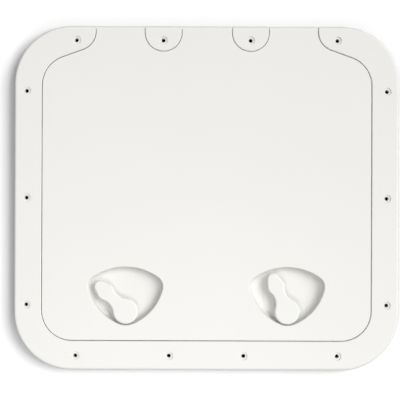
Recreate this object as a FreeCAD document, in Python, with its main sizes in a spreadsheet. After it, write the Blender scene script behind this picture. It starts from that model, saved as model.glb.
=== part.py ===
import FreeCAD, Part
import math
import os

import Sketcher

# A flush inspection hatch: a moulded deck frame, a hinged lid with two finger recesses, and two handles with cams.
# The origin is the centre of the deck opening on the deck plane, +Z points out of the deck, +Y to the hinge edge.

os.makedirs("parts", exist_ok=True)
doc = FreeCAD.newDocument("inspection_hatch")
V = FreeCAD.Vector
UP = V(0, 0, 1)

# Driving sizes in millimetres and degrees
SIZES = {
    # frame outline and section
    "frame_length": 513.0,
    "frame_width": 458.0,
    "frame_corner": 77.0,
    "flange_top": 9.0,
    "flange_skin": 3.0,
    "rim_wall": 3.0,
    "edge_round": 4.0,
    "frame_rib": 2.0,
    "side_ribs": 7,
    "front_ribs": 8,
    "hollow_stop": 50.0,
    "side_margin": 36.9,
    "end_margin": 38.9,
    "opening_corner": 40.6,
    "collar_wall": 3.0,
    "collar_depth": 26.0,
    "gutter_width": 15.1,
    "gutter_depth": 9.0,
    "gutter_floor": 3.0,
    "upstand_wall": 3.0,
    "upstand_drop": 1.0,
    "gusset_wall": 2.4,
    "gusset_height": 12.0,
    "side_gussets": 5,
    "end_gussets": 3,
    # hinge
    "rod_diameter": 4.0,
    "rod_fit": 0.05,
    "rod_inset": 66.5,
    "rod_gap": 2.0,
    "rod_chamfer": 0.4,
    "plug_length": 6.0,
    "knuckle_clearance": 0.7,
    "tab_pitch": 116.0,
    "tab_radius": 24.3,
    "tab_back": 9.1,
    "tab_wall": 3.0,
    "corner_tab_inset": 83.1,
    "corner_tab_radius": 25.3,
    "corner_tab_back": 7.4,
    # screw holes
    "screw_hole": 5.2,
    "screw_head": 11.0,
    "screw_seat": 1.2,
    "boss_diameter": 15.0,
    "side_screw_inset": 17.0,
    "side_screw_pitch": 142.0,
    "rear_screw_inset": 19.3,
    "front_screw_inset": 19.2,
    "front_screw_inner": 99.2,
    "front_screw_corner": 82.5,
    # lid
    "lid_gap": 0.95,
    "tab_gap": 0.7,
    "lid_plate": 3.5,
    "lid_edge_break": 0.4,
    "seat_edge_break": 0.8,
    "skirt_gap": 3.6,
    "skirt_wall": 2.5,
    "skirt_drop": 4.0,
    "seal_width": 7.6,
    "seal_side_fit": 0.2,
    "seal_lift": 0.25,
    "seal_round": 2.5,
    "lip_wall": 1.5,
    "lip_depth": 2.5,
    "lid_rib": 2.0,
    "lid_rib_depth": 7.5,
    "lid_rib_margin": 21.8,
    "cross_ribs": 7,
    "long_ribs": 9,
    # finger recesses
    "latch_pitch": 215.2,
    "latch_front": 78.2,
    "recess_depth": 14.0,
    "recess_wall": 3.0,
    "recess_top": 59.5,
    "recess_bottom": 18.6,
    "recess_corner_x": 34.5,
    "recess_corner_y": 33.0,
    "recess_corner": 15.5,
    "recess_side": 68.0,
    "recess_base": 26.0,
    "recess_slope": 3.0,
    "recess_floor_round": 7.3,
    "recess_under_round": 7.0,
    "floor_bottom": 17.9,
    "floor_base": 18.5,
    "recess_lip_round": 1.2,
    # handle
    "handle_hub": 17.0,
    "handle_lobe": 11.7,
    "handle_lobe_reach": 37.0,
    "handle_tip": 8.0,
    "handle_tip_reach": 47.3,
    "handle_neck": 8.6,
    "handle_thickness": 5.5,
    "handle_round": 2.6,
    "handle_under_break": 0.8,
    "stem_radius": 9.5,
    "shaft_radius": 4.95,
    "shaft_square": 6.6,
    "left_turn": 45.8,
    "right_turn": 23.6,
    # bearing, seal and washer on each shaft
    "bush_flange": 10.0,
    "bush_flange_height": 1.5,
    "bush_radius": 7.0,
    "shaft_fit": 0.05,
    "stem_lift": 0.1,
    "ring_section": 1.3,
    "ring_fit": 0.03,
    "friction_radius": 10.0,
    # cam
    "cam_hub": 9.0,
    "cam_height": 5.4,
    "cam_boss": 8.0,
    "cam_clearance": 0.3,
    "cam_thickness": 4.0,
    "cam_tip": 6.0,
    "cam_reach": 31.0,
    "cam_ramp": 1.2,
    "cam_square_fit": 0.1,
    "lock_side": 46.0,
    "cam_washer_radius": 8.0,
    "cam_washer_height": 1.0,
    "cam_screw_shank": 2.45,
    "cam_screw_length": 9.0,
    "cam_screw_head": 4.6,
    "cam_screw_head_height": 3.0,
    "cam_screw_fit": 0.05,
    "cam_screw_end": 0.2,
    "cam_screw_point": 0.6,
    "cam_screw_edge": 1.0,
    "cross_slot": 1.0,
    "cross_reach": 2.6,
}

sheet = doc.addObject("Spreadsheet::Sheet", "sizes")
for row, (name, value) in enumerate(SIZES.items(), start=1):
    sheet.set(f"A{row}", name)
    sheet.set(f"B{row}", str(value))
    sheet.setAlias(f"B{row}", name)
doc.recompute()


def amount(expression):
    """The value of an expression of the sheet's sizes."""
    result = sheet.evalExpression(expression)
    return float(getattr(result, "Value", result))


def of(name):
    """The value of one size."""
    return amount(f"sizes.{name}")


# Lengths that several pieces share, as expressions of the sizes
OPEN_X = "(sizes.frame_length / 2 - sizes.side_margin)"
OPEN_Y = "(sizes.frame_width / 2 - sizes.end_margin)"
GUTTER_UNDER = "(sizes.gutter_depth + sizes.gutter_floor)"
LID_UNDER = "(sizes.flange_top - sizes.lid_plate)"
AXIS_HEIGHT = "(sizes.flange_top / 2)"
AXIS_BACK = "(sizes.frame_width / 2 - sizes.flange_top / 2)"
STRIP_Y = f"({AXIS_BACK} - sizes.flange_top / 2 - sizes.knuckle_clearance)"
BORE = "(sizes.rod_diameter / 2 + sizes.rod_fit)"
ROD_END = "(sizes.frame_length / 2 - sizes.rod_inset)"
CORNER_TAB_X = "(sizes.frame_length / 2 - sizes.corner_tab_inset)"
CORNER_SCREW_X = "(sizes.frame_length / 2 - sizes.front_screw_corner)"
SEAL_MIDDLE = "(sizes.gutter_width - sizes.upstand_wall / 2)"
SEAL_OUTER = f"({SEAL_MIDDLE} - sizes.seal_width / 2)"
SEAL_INNER = f"({SEAL_MIDDLE} + sizes.seal_width / 2)"
FLOOR_TOP = "(sizes.flange_top - sizes.recess_depth)"
FLOOR_UNDER = f"({FLOOR_TOP} - sizes.recess_wall)"
STEM_BOTTOM = f"({FLOOR_TOP} + sizes.bush_flange_height + sizes.stem_lift)"
CAM_TOP = f"(-{GUTTER_UNDER} - sizes.cam_clearance)"
CAM_BOTTOM = f"({CAM_TOP} - sizes.cam_height)"
PIVOT_Y = "(sizes.latch_front - sizes.frame_width / 2)"


# Bodies, sketches and features

def new_body(name):
    """An empty body whose label is its node's name."""
    body = doc.addObject("PartDesign::Body", name)
    body.Label = name
    return body


def origin_plane(body, role):
    """One of the body's own origin planes."""
    return next(f for f in body.Origin.OriginFeatures if f.Role == role)


def new_sketch(body, name, height="0", role="XY_Plane"):
    """A sketch on an origin plane, moved along its normal by an expression."""
    sketch = body.newObject("Sketcher::SketchObject", f"{body.Name}_{name}")
    sketch.AttachmentSupport = (origin_plane(body, role), [""])
    sketch.MapMode = "FlatFace"
    if height != "0":
        sketch.setExpression("AttachmentOffset.Base.z", height)
    return sketch


def bind(sketch, constraint, expression):
    """Add a dimension and tie it to an expression."""
    index = sketch.addConstraint(constraint)
    label = f"size_{index}"
    sketch.renameConstraint(index, label)
    sketch.setExpression(f"Constraints.{label}", expression)


def rounded_rectangle(sketch, half_x, half_y, radius):
    """A rectangle about the origin with four equal corner arcs."""
    x, y, r = amount(half_x), amount(half_y), amount(radius)
    first = sketch.GeometryCount
    centres = [(x - r, y - r), (r - x, y - r), (r - x, r - y), (x - r, r - y)]
    arcs = []
    for quarter, (cx, cy) in enumerate(centres):
        circle = Part.Circle(V(cx, cy, 0), UP, r)
        arcs.append(Part.ArcOfCircle(circle, math.pi / 2 * quarter, math.pi / 2 * (quarter + 1)))
    for arc in arcs:
        sketch.addGeometry(arc, False)
    for here, there in zip(arcs, arcs[1:] + arcs[:1]):
        sketch.addGeometry(Part.LineSegment(here.EndPoint, there.StartPoint), False)
    top, left, bottom, right = range(first + 4, first + 8)
    for i in range(4):
        sketch.addConstraint(Sketcher.Constraint("Tangent", first + i, 2, first + 4 + i, 1))
        sketch.addConstraint(Sketcher.Constraint("Tangent", first + 4 + i, 2, first + (i + 1) % 4, 1))
    for side in (top, bottom):
        sketch.addConstraint(Sketcher.Constraint("Horizontal", side))
    for side in (left, right):
        sketch.addConstraint(Sketcher.Constraint("Vertical", side))
    for i in range(1, 4):
        sketch.addConstraint(Sketcher.Constraint("Equal", first, first + i))
    bind(sketch, Sketcher.Constraint("Radius", first, r), radius)
    bind(sketch, Sketcher.Constraint("DistanceX", -1, 1, right, 1, x), half_x)
    bind(sketch, Sketcher.Constraint("DistanceX", left, 1, -1, 1, x), half_x)
    bind(sketch, Sketcher.Constraint("DistanceY", -1, 1, top, 1, y), half_y)
    bind(sketch, Sketcher.Constraint("DistanceY", bottom, 1, -1, 1, y), half_y)


def inset_rectangle(sketch, inset):
    """The collar's inner outline, moved inwards by an expression."""
    rounded_rectangle(sketch, f"{OPEN_X} - {inset}", f"{OPEN_Y} - {inset}", f"sizes.opening_corner - {inset}")


def circle(sketch, x, y, radius):
    """A circle whose centre and radius are expressions."""
    at = V(amount(x), amount(y), 0)
    index = sketch.addGeometry(Part.Circle(at, UP, amount(radius)), False)
    bind(sketch, Sketcher.Constraint("Radius", index, amount(radius)), radius)
    for kind, axis, expression, value in (("DistanceX", -2, x, at.x), ("DistanceY", -1, y, at.y)):
        if expression == "0":
            sketch.addConstraint(Sketcher.Constraint("PointOnObject", index, 3, axis))
        else:
            bind(sketch, Sketcher.Constraint(kind, -1, 1, index, 3, value), expression)


def rectangle(sketch, left, bottom, right, top):
    """A rectangle with sharp corners, its four sides given by expressions."""
    x0, y0, x1, y1 = (amount(e) for e in (left, bottom, right, top))
    corners = [V(x0, y0, 0), V(x1, y0, 0), V(x1, y1, 0), V(x0, y1, 0)]
    first = sketch.GeometryCount
    for here, there in zip(corners, corners[1:] + corners[:1]):
        sketch.addGeometry(Part.LineSegment(here, there), False)
    for i in range(4):
        sketch.addConstraint(Sketcher.Constraint("Coincident", first + i, 2, first + (i + 1) % 4, 1))
    for i in (0, 2):
        sketch.addConstraint(Sketcher.Constraint("Horizontal", first + i))
    for i in (1, 3):
        sketch.addConstraint(Sketcher.Constraint("Vertical", first + i))
    bind(sketch, Sketcher.Constraint("DistanceX", -1, 1, first, 1, x0), left)
    bind(sketch, Sketcher.Constraint("DistanceY", -1, 1, first, 1, y0), bottom)
    bind(sketch, Sketcher.Constraint("DistanceX", -1, 1, first + 1, 2, x1), right)
    bind(sketch, Sketcher.Constraint("DistanceY", -1, 1, first + 1, 2, y1), top)


def polygon(sketch, points):
    """A closed chain of straight lines through computed points."""
    corners = [V(x, y, 0) for x, y in points]
    for here, there in zip(corners, corners[1:] + corners[:1]):
        index = sketch.addGeometry(Part.LineSegment(here, there), False)
        sketch.addConstraint(Sketcher.Constraint("Block", index))


def arc_chain(sketch, pieces):
    """A closed outline of computed arcs and lines, held where they are."""
    for piece in pieces:
        index = sketch.addGeometry(piece, False)
        sketch.addConstraint(Sketcher.Constraint("Block", index))


def pad(body, sketch, length, down=False, both=False):
    """Raise a sketch by an expression's length."""
    feature = body.newObject("PartDesign::Pad", f"{sketch.Name}_pad")
    feature.Profile = sketch
    feature.setExpression("Length", length)
    feature.Midplane = both
    feature.Reversed = down
    return feature


def pocket(body, sketch, length=None, up=False, both=False):
    """Cut a sketch into the body, all the way when no length is given."""
    feature = body.newObject("PartDesign::Pocket", f"{sketch.Name}_cut")
    feature.Profile = sketch
    feature.Midplane = both
    feature.Reversed = up
    if length is None:
        feature.Type = "ThroughAll"
    else:
        feature.setExpression("Length", length)
    return feature


def revolve(body, sketch):
    """Turn a profile about the sketch's vertical axis."""
    feature = body.newObject("PartDesign::Revolution", f"{sketch.Name}_turned")
    feature.Profile = sketch
    feature.ReferenceAxis = (sketch, ["V_Axis"])
    feature.Angle = 360.0
    return feature


def mirror(body, name, features):
    """Repeat features on the other side of the YZ plane."""
    pair = body.newObject("PartDesign::Mirrored", f"{body.Name}_{name}")
    pair.Originals = features
    pair.MirrorPlane = (origin_plane(body, "YZ_Plane"), [""])
    body.Tip = pair
    return pair


def round_edges(body, base, name, radius, wanted, kind="Fillet"):
    """Round or chamfer each edge of the base feature that a test picks."""
    doc.recompute()
    names = [f"Edge{i}" for i, edge in enumerate(base.Shape.Edges, start=1) if wanted(edge)]
    feature = body.newObject(f"PartDesign::{kind}", f"{body.Name}_{name}")
    feature.Base = (base, names)
    feature.setExpression("Radius" if kind == "Fillet" else "Size", radius)
    body.Tip = feature
    return feature


def level(edge, height, tolerance=0.01):
    """Does the whole edge lie at one height?"""
    box = edge.BoundBox
    return abs(box.ZMin - height) < tolerance and abs(box.ZMax - height) < tolerance


def place(body, x, y, turn="0"):
    """Put a body at a point of the hatch, turned about the vertical."""
    body.Placement = FreeCAD.Placement(V(amount(x), amount(y), 0), FreeCAD.Rotation(UP, amount(turn)))
    body.setExpression("Placement.Base.x", x)
    body.setExpression("Placement.Base.y", y)


# Outlines that are worked out from the sizes

def arc(centre, radius, start, end):
    """An arc of a circle from one angle to another in degrees, anticlockwise."""
    return Part.ArcOfCircle(Part.Circle(V(*centre, 0), UP, radius), math.radians(start), math.radians(end))


def on_circle(centre, radius, angle):
    """The point of a circle at an angle in degrees."""
    turn = math.radians(angle)
    return centre[0] + radius * math.cos(turn), centre[1] + radius * math.sin(turn)


def line(start, end):
    """A straight piece of an outline."""
    return Part.LineSegment(V(*start, 0), V(*end, 0))


def mirrored(point):
    """The point on the other side of the Y axis."""
    return -point[0], point[1]


def lid_outline(grow, rear):
    """The lid's edge with the bays for the corner tabs, grown outwards, up to a rear line."""
    half_x = amount(OPEN_X) - of("lid_gap")
    half_y = amount(OPEN_Y) - of("lid_gap")
    corner = of("opening_corner") - of("lid_gap")
    core_x, core_y = half_x - corner, half_y - corner
    corner += grow
    bay = of("corner_tab_radius") + of("lid_gap") - grow
    tab = amount(CORNER_TAB_X), of("frame_width") / 2 - of("corner_tab_back")
    apart = math.hypot(tab[0] - core_x, tab[1] - core_y)
    towards = math.degrees(math.atan2(tab[1] - core_y, tab[0] - core_x))
    normal = towards - math.degrees(math.acos((corner + bay) / apart))
    side = core_x + corner
    front = -core_y - corner
    leave = on_circle((core_x, core_y), corner, normal)
    meet = on_circle(tab, bay, normal + 180)
    throat = tab[0] - bay
    return [
        line((-core_x, front), (core_x, front)),
        arc((core_x, -core_y), corner, 270, 360),
        line((side, -core_y), (side, core_y)),
        arc((core_x, core_y), corner, 0, normal),
        line(leave, meet),
        arc(tab, bay, 180, normal + 180),
        line((throat, tab[1]), (throat, rear)),
        line((throat, rear), (-throat, rear)),
        line((-throat, rear), (-throat, tab[1])),
        arc(mirrored(tab), bay, -normal, 0),
        line(mirrored(meet), mirrored(leave)),
        arc((-core_x, core_y), corner, 180 - normal, 180),
        line((-side, core_y), (-side, -core_y)),
        arc((-core_x, -core_y), corner, 180, 270),
    ]


def tab_outline(x, radius, rear):
    """A tab with a round nose towards the lid and straight sides to a rear line."""
    centre = x, of("frame_width") / 2 - of("tab_back")
    return [
        arc(centre, radius, 180, 360),
        line((x + radius, centre[1]), (x + radius, rear)),
        line((x + radius, rear), (x - radius, rear)),
        line((x - radius, rear), (x - radius, centre[1])),
    ]


def tab_hollow(x):
    """The hollow under a tab, cut off square in front of the rod bore."""
    centre = x, of("frame_width") / 2 - of("tab_back")
    reach = of("tab_radius") - of("tab_wall")
    rear = amount(AXIS_BACK) - of("rod_diameter") / 2 - of("tab_wall")
    drop = math.degrees(math.asin((centre[1] - rear) / reach))
    start, end = on_circle(centre, reach, 180 + drop), on_circle(centre, reach, 360 - drop)
    return [arc(centre, reach, 180 + drop, 360 - drop), line(end, start)]


def inner_tangent(one, reach_one, two, reach_two):
    """The centre of the arc that is tangent inside to two circles, on the far side of their line."""
    dx, dy = two[0] - one[0], two[1] - one[1]
    apart = math.hypot(dx, dy)
    along = (reach_one**2 - reach_two**2 + apart**2) / (2 * apart)
    off = math.sqrt(reach_one**2 - along**2)
    return one[0] + (along * dx - off * dy) / apart, one[1] + (along * dy + off * dx) / apart


def recess_outline(inset, base_bottom, base, grow=0.0):
    """The finger recess about its pivot: a flat top arc, two round shoulders, full sides and a round base."""
    shoulder = of("recess_corner_x"), of("recess_corner_y")
    corner = of("recess_corner") - inset
    top = of("recess_top") - inset
    side = of("recess_side") - inset
    drop = shoulder[1] - top
    crown = (shoulder[0] ** 2 + drop**2 - corner**2) / (2 * (-drop - corner))
    crown_centre = 0.0, top - crown
    base_centre = 0.0, base - base_bottom
    side_centre = inner_tangent(base_centre, side - base, shoulder, side - corner)
    over = math.degrees(math.atan2(shoulder[1] - crown_centre[1], shoulder[0]))
    high = math.degrees(math.atan2(shoulder[1] - side_centre[1], shoulder[0] - side_centre[0]))
    low = math.degrees(math.atan2(base_centre[1] - side_centre[1], -side_centre[0]))
    return [
        arc(crown_centre, crown + grow, over, 180 - over),
        arc(mirrored(shoulder), corner + grow, 180 - over, 180 - high),
        arc(mirrored(side_centre), side + grow, 180 - high, 180 - low),
        arc(base_centre, base + grow, 180 - low, 360 + low),
        arc(side_centre, side + grow, low, high),
        arc(shoulder, corner + grow, high, over),
    ]


def handle_outline():
    """The paddle from above, tip along +Y: a round hub, a waist, a lobe and a tapered round tip."""
    hub, lobe, tip = of("handle_hub"), of("handle_lobe"), of("handle_tip")
    lobe_at, tip_at, neck = of("handle_lobe_reach"), of("handle_tip_reach"), of("handle_neck")
    low, high = 1.0, 500.0
    for _ in range(60):
        waist = (low + high) / 2
        from_hub = math.sqrt((hub + waist) ** 2 - (waist + neck) ** 2)
        from_lobe = math.sqrt((lobe + waist) ** 2 - (waist + neck) ** 2)
        if from_hub + from_lobe < lobe_at:
            low = waist
        else:
            high = waist
    waist_centre = waist + neck, from_hub
    leave = math.degrees(math.atan2(waist_centre[1], waist_centre[0]))
    meet = math.degrees(math.atan2(waist_centre[1] - lobe_at, waist_centre[0]))
    taper = math.degrees(math.asin((lobe - tip) / (tip_at - lobe_at)))
    wide, narrow = on_circle((0, lobe_at), lobe, taper), on_circle((0, tip_at), tip, taper)
    return [
        arc((0, 0), hub, 180 - leave, 360 + leave),
        arc(waist_centre, waist, 180 + meet, 180 + leave),
        arc((0, lobe_at), lobe, meet, taper),
        line(wide, narrow),
        arc((0, tip_at), tip, taper, 180 - taper),
        line(mirrored(narrow), mirrored(wide)),
        arc((0, lobe_at), lobe, 180 - taper, 180 - meet),
        arc(mirrored(waist_centre), waist, -leave, -meet),
    ]


# The frame: flange, tabs, collar, gutter and upstand in one moulding

def screw_points():
    """The 14 screw positions as pairs of expressions."""
    side = "(sizes.frame_length / 2 - sizes.side_screw_inset)"
    rear = "(sizes.frame_width / 2 - sizes.rear_screw_inset)"
    front = "(sizes.front_screw_inset - sizes.frame_width / 2)"
    points = [(f"{sign}{side}", y) for sign in ("", "-") for y in ("sizes.side_screw_pitch", "-sizes.side_screw_pitch")]
    points += [(side, "0"), (f"-{side}", "0")]
    rows = ((rear, ("sizes.tab_pitch / 2", CORNER_TAB_X)), (front, ("sizes.front_screw_inner / 2", CORNER_SCREW_X)))
    for row, places in rows:
        points += [(f"{sign}{x}", row) for x in places for sign in ("", "-")]
    return points


def hollow_outline():
    """The underside hollow of the flange: down one side, across the front and up the other."""
    outer_core = of("frame_length") / 2 - of("frame_corner"), of("frame_width") / 2 - of("frame_corner")
    outer = of("frame_corner") - of("rim_wall")
    inner_core = amount(OPEN_X) - of("opening_corner"), amount(OPEN_Y) - of("opening_corner")
    inner = of("opening_corner") + of("collar_wall")
    stop = of("hollow_stop")
    (ox, oy), (ix, iy) = outer_core, inner_core
    return [
        arc((ox, oy), outer, 0, stop),
        line(on_circle((ox, oy), outer, stop), on_circle((ix, iy), inner, stop)),
        arc((ix, iy), inner, 0, stop),
        line((ix + inner, iy), (ix + inner, -iy)),
        arc((ix, -iy), inner, 270, 360),
        line((ix, -iy - inner), (-ix, -iy - inner)),
        arc((-ix, -iy), inner, 180, 270),
        line((-ix - inner, -iy), (-ix - inner, iy)),
        arc((-ix, iy), inner, 180 - stop, 180),
        line(on_circle((-ix, iy), inner, 180 - stop), on_circle((-ox, oy), outer, 180 - stop)),
        arc((-ox, oy), outer, 180 - stop, 180),
        line((-ox - outer, oy), (-ox - outer, -oy)),
        arc((-ox, -oy), outer, 180, 270),
        line((-ox, -oy - outer), (ox, -oy - outer)),
        arc((ox, -oy), outer, 270, 360),
        line((ox + outer, -oy), (ox + outer, oy)),
    ]


def make_frame():
    """The deck frame."""
    body = new_body("frame")
    behind = of("frame_width") / 2 + 10

    flange = new_sketch(body, "flange")
    rounded_rectangle(flange, "sizes.frame_length / 2", "sizes.frame_width / 2", "sizes.frame_corner")
    pad(body, flange, "sizes.flange_top")
    opening = new_sketch(body, "opening")
    inset_rectangle(opening, "0")
    pocket(body, opening, both=True)

    recess = new_sketch(body, "lid_seat", "sizes.flange_skin")
    arc_chain(recess, lid_outline(of("lid_gap"), behind))
    pocket(body, recess, "sizes.flange_top", up=True)
    strip = new_sketch(body, "knuckle_strip")
    throat = f"({CORNER_TAB_X} - sizes.corner_tab_radius)"
    rectangle(strip, f"-{throat}", STRIP_Y, throat, "sizes.frame_width / 2 + 10")
    pocket(body, strip, both=True)
    tabs = new_sketch(body, "tabs")
    for sign in (-1, 1):
        arc_chain(tabs, tab_outline(sign * of("tab_pitch") / 2, of("tab_radius"), of("frame_width") / 2))
    pad(body, tabs, "sizes.flange_top")

    hollow = new_sketch(body, "underside")
    arc_chain(hollow, hollow_outline())
    for sign in (-1, 1):
        arc_chain(hollow, tab_hollow(sign * of("tab_pitch") / 2))
    pocket(body, hollow, "sizes.flange_top - sizes.flange_skin", up=True)

    bosses = new_sketch(body, "bosses")
    for x, y in screw_points():
        circle(bosses, x, y, "sizes.boss_diameter / 2")
    pad(body, bosses, "sizes.flange_top - sizes.flange_skin / 2")
    inner, outer = f"({OPEN_X} + sizes.collar_wall / 2)", "(sizes.frame_length / 2 - sizes.rim_wall / 2)"
    side_ribs = new_sketch(body, "side_ribs")
    pitch = "sizes.side_screw_pitch"
    for low, high in ((inner, outer), (f"-{outer}", f"-{inner}")):
        rectangle(side_ribs, low, f"-{pitch} - sizes.frame_rib / 2", high, f"-{pitch} + sizes.frame_rib / 2")
    first = pad(body, side_ribs, "sizes.flange_top - sizes.flange_skin / 2")
    row = body.newObject("PartDesign::LinearPattern", "frame_side_rib_row")
    row.Originals = [first]
    row.Direction = (side_ribs, ["V_Axis"])
    row.setExpression("Length", f"2 * {pitch}")
    row.setExpression("Occurrences", "sizes.side_ribs")
    body.Tip = row
    front_ribs = new_sketch(body, "front_ribs")
    low, high = "(sizes.rim_wall / 2 - sizes.frame_width / 2)", f"(-{OPEN_Y} - sizes.collar_wall / 2)"
    half = CORNER_SCREW_X
    rectangle(front_ribs, f"-{half} - sizes.frame_rib / 2", low, f"-{half} + sizes.frame_rib / 2", high)
    first = pad(body, front_ribs, "sizes.flange_top - sizes.flange_skin / 2")
    row = body.newObject("PartDesign::LinearPattern", "frame_front_rib_row")
    row.Originals = [first]
    row.Direction = (front_ribs, ["H_Axis"])
    row.setExpression("Length", f"2 * {CORNER_SCREW_X}")
    row.setExpression("Occurrences", "sizes.front_ribs")
    body.Tip = row

    collar = new_sketch(body, "collar")
    inset_rectangle(collar, "0")
    inset_rectangle(collar, "-sizes.collar_wall")
    pad(body, collar, "sizes.collar_depth", down=True)
    gutter = new_sketch(body, "gutter", f"-{GUTTER_UNDER}")
    inset_rectangle(gutter, "-sizes.collar_wall / 2")
    inset_rectangle(gutter, "sizes.gutter_width")
    pad(body, gutter, "sizes.gutter_floor")
    upstand = new_sketch(body, "upstand", f"-{GUTTER_UNDER}")
    inset_rectangle(upstand, "(sizes.gutter_width - sizes.upstand_wall)")
    inset_rectangle(upstand, "sizes.gutter_width")
    pad(body, upstand, f"{GUTTER_UNDER} - sizes.upstand_drop")
    make_gussets(body)

    bore = new_sketch(body, "rod_bore", role="YZ_Plane")
    circle(bore, AXIS_BACK, AXIS_HEIGHT, BORE)
    pocket(body, bore, both=True)
    doc.recompute()
    holes = new_sketch(body, "screw_points", "sizes.flange_top")
    for x, y in screw_points():
        circle(holes, x, y, "sizes.screw_hole / 2")
    doc.recompute()
    sunk = body.newObject("PartDesign::Hole", "frame_screw_holes")
    sunk.Profile = holes
    sunk.DepthType = "ThroughAll"
    sunk.ThreadType = "None"
    sunk.HoleCutType = "Counterbore"
    sunk.HoleCutCustomValues = True
    sunk.setExpression("Diameter", "sizes.screw_hole")
    sunk.setExpression("HoleCutDiameter", "sizes.screw_head")
    sunk.setExpression("HoleCutDepth", "sizes.screw_seat")

    top = of("flange_top")
    rim_x, rim_y = of("frame_length") / 2, of("frame_width") / 2
    core_x, core_y = rim_x - of("frame_corner"), rim_y - of("frame_corner")

    def on_rim(edge):
        if not level(edge, top):
            return False
        point = edge.valueAt((edge.FirstParameter + edge.LastParameter) / 2)
        out_x, out_y = max(abs(point.x) - core_x, 0), max(abs(point.y) - core_y, 0)
        return abs(math.hypot(out_x, out_y) - of("frame_corner")) < 0.01

    rounded = round_edges(body, sunk, "rim_round", "sizes.edge_round", on_rim)

    def on_seat(edge):
        if not level(edge, top):
            return False
        is_hole = isinstance(edge.Curve, Part.Circle) and edge.Curve.Radius < of("boss_diameter")
        point = edge.valueAt((edge.FirstParameter + edge.LastParameter) / 2)
        inside = abs(point.x) < rim_x - of("edge_round") - 1 and abs(point.y) < rim_y - of("edge_round") - 1
        return inside and not is_hole

    round_edges(body, rounded, "seat_break", "sizes.seat_edge_break", on_seat, "Chamfer")
    return body


def make_gussets(body):
    """Webs under the gutter, along the sides and the ends, clear of both cams."""
    reach = amount(OPEN_X) - of("gutter_width") / 4 * 3, amount(OPEN_Y) - of("gutter_width") / 4 * 3
    wall = amount(OPEN_X) + of("collar_wall") / 2, amount(OPEN_Y) + of("collar_wall") / 2
    shelf = -amount(GUTTER_UNDER) + of("gutter_floor") / 2
    low = -amount(GUTTER_UNDER) - of("gusset_height")
    for name, role, i, half_run, count in (
        ("side_gusset", "XZ_Plane", 0, "sizes.side_screw_pitch", "sizes.side_gussets"),
        ("end_gusset", "YZ_Plane", 1, CORNER_SCREW_X, "sizes.end_gussets"),
    ):
        web = new_sketch(body, name, f"-({half_run})", role)
        for sign in (-1, 1):
            polygon(web, [(sign * reach[i], shelf), (sign * wall[i], shelf), (sign * wall[i], low)])
        first = pad(body, web, "sizes.gusset_wall", both=True)
        row = body.newObject("PartDesign::LinearPattern", f"frame_{name}_row")
        row.Originals = [first]
        row.Direction = (web, ["N_Axis"])
        row.setExpression("Length", f"2 * {half_run}")
        row.setExpression("Occurrences", count)
        body.Tip = row


# The lid: plate, skirt, seal channel, ribs, knuckles and two finger recesses in one moulding

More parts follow.
